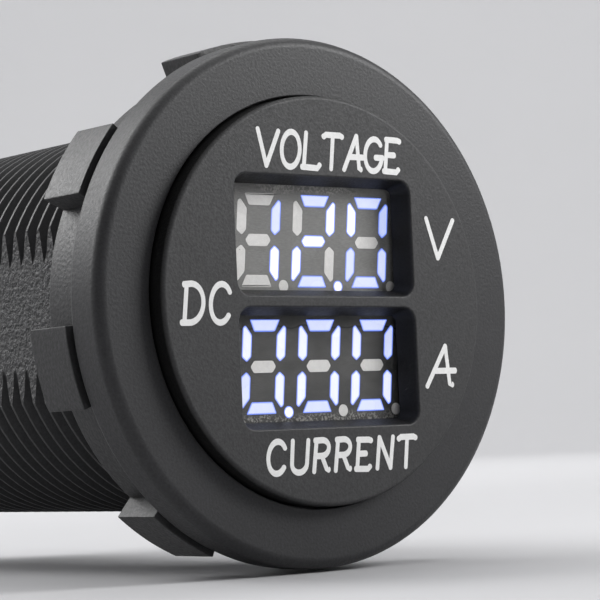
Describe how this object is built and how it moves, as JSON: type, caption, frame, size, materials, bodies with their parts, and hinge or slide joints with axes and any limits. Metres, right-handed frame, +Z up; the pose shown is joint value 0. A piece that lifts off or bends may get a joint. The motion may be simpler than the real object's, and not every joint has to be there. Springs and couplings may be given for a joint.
{
  "type": "panel meter",
  "caption": "Round flanged panel meter with two LED displays, a threaded body, a ring nut and rear blade terminals.",
  "frame": {"origin": "centre of the flange's rear face, which lies on the panel's front surface", "axes": "+Y along the body away from the face, +Z up on the face, +X to the right of the face as it is read"},
  "size_m": [0.0374, 0.062, 0.0374],
  "materials": {
    "housing_plastic": "fine moulded grain, matte black",
    "cap_plastic": "fine moulded grain, matte black with light grey print",
    "nut_plastic": "moulded black nylon, slightly satin",
    "rubber": "matte black rubber",
    "display_case": "dark grey display face, satin",
    "lit_segment": "glowing cool white epoxy",
    "dark_segment": "unlit milky epoxy",
    "clear_film": "thin clear film",
    "circuit_board": "green solder mask over glass fibre",
    "chip_plastic": "black moulded epoxy",
    "tinned_metal": "tin plated",
    "gold_pin": "gold flashed brass",
    "can_aluminium": "drawn aluminium can",
    "can_sleeve": "shrunk plastic sleeve",
    "ceramic": "tan ceramic with tinned ends",
    "wire_jacket": "red insulation",
    "shunt_alloy": "drawn resistance alloy"
  },
  "bodies": {
    "meter": {"housing": "housing_plastic", "front_cap": "cap_plastic", "cap_gasket": "rubber", "upper_display_case": "display_case", "lower_display_case": "display_case", "upper_lit_segments": "lit_segment", "upper_dark_segments": "dark_segment", "lower_lit_segments": "lit_segment", "lower_dark_segments": "dark_segment", "upper_display_film": "clear_film", "lower_display_film": "clear_film", "display_board": "circuit_board", "display_pins": "tinned_metal", "segment_driver": "chip_plastic", "segment_resistors": "chip_plastic", "header_strips": "chip_plastic", "header_pins": "gold_pin", "main_board": "circuit_board", "controller_chip": "chip_plastic", "voltage_regulator": "chip_plastic", "supply_capacitor": "can_aluminium", "capacitor_sleeve": "can_sleeve", "ceramic_capacitors": "ceramic", "protection_diode": "chip_plastic", "link_wires": "gold_pin", "wire_jackets": "wire_jacket", "power_board": "circuit_board", "current_shunt": "shunt_alloy", "positive_terminal": "tinned_metal", "negative_terminal": "tinned_metal", "load_terminal": "tinned_metal", "solder_joints": "tinned_metal", "rear_cap": "cap_plastic"},
    "ring": {"nut_ring": "rubber"},
    "nut": {"panel_nut": "nut_plastic"}
  },
  "joints": [
    {"name": "ring_travel", "type": "slide", "parent": "meter", "child": "ring", "axis": [0, 1, 0], "range_m": [0, 0.03751]},
    {"name": "nut_turn", "type": "hinge", "parent": "ring", "child": "nut", "pos_m": [0, 0, 0], "axis": [0, 1, 0], "range_deg": [0, 9000]}
  ],
  "couplings": [
    {"joint": "ring_travel", "follows": "nut_turn", "m_per_rad": 0.00023873}
  ]
}
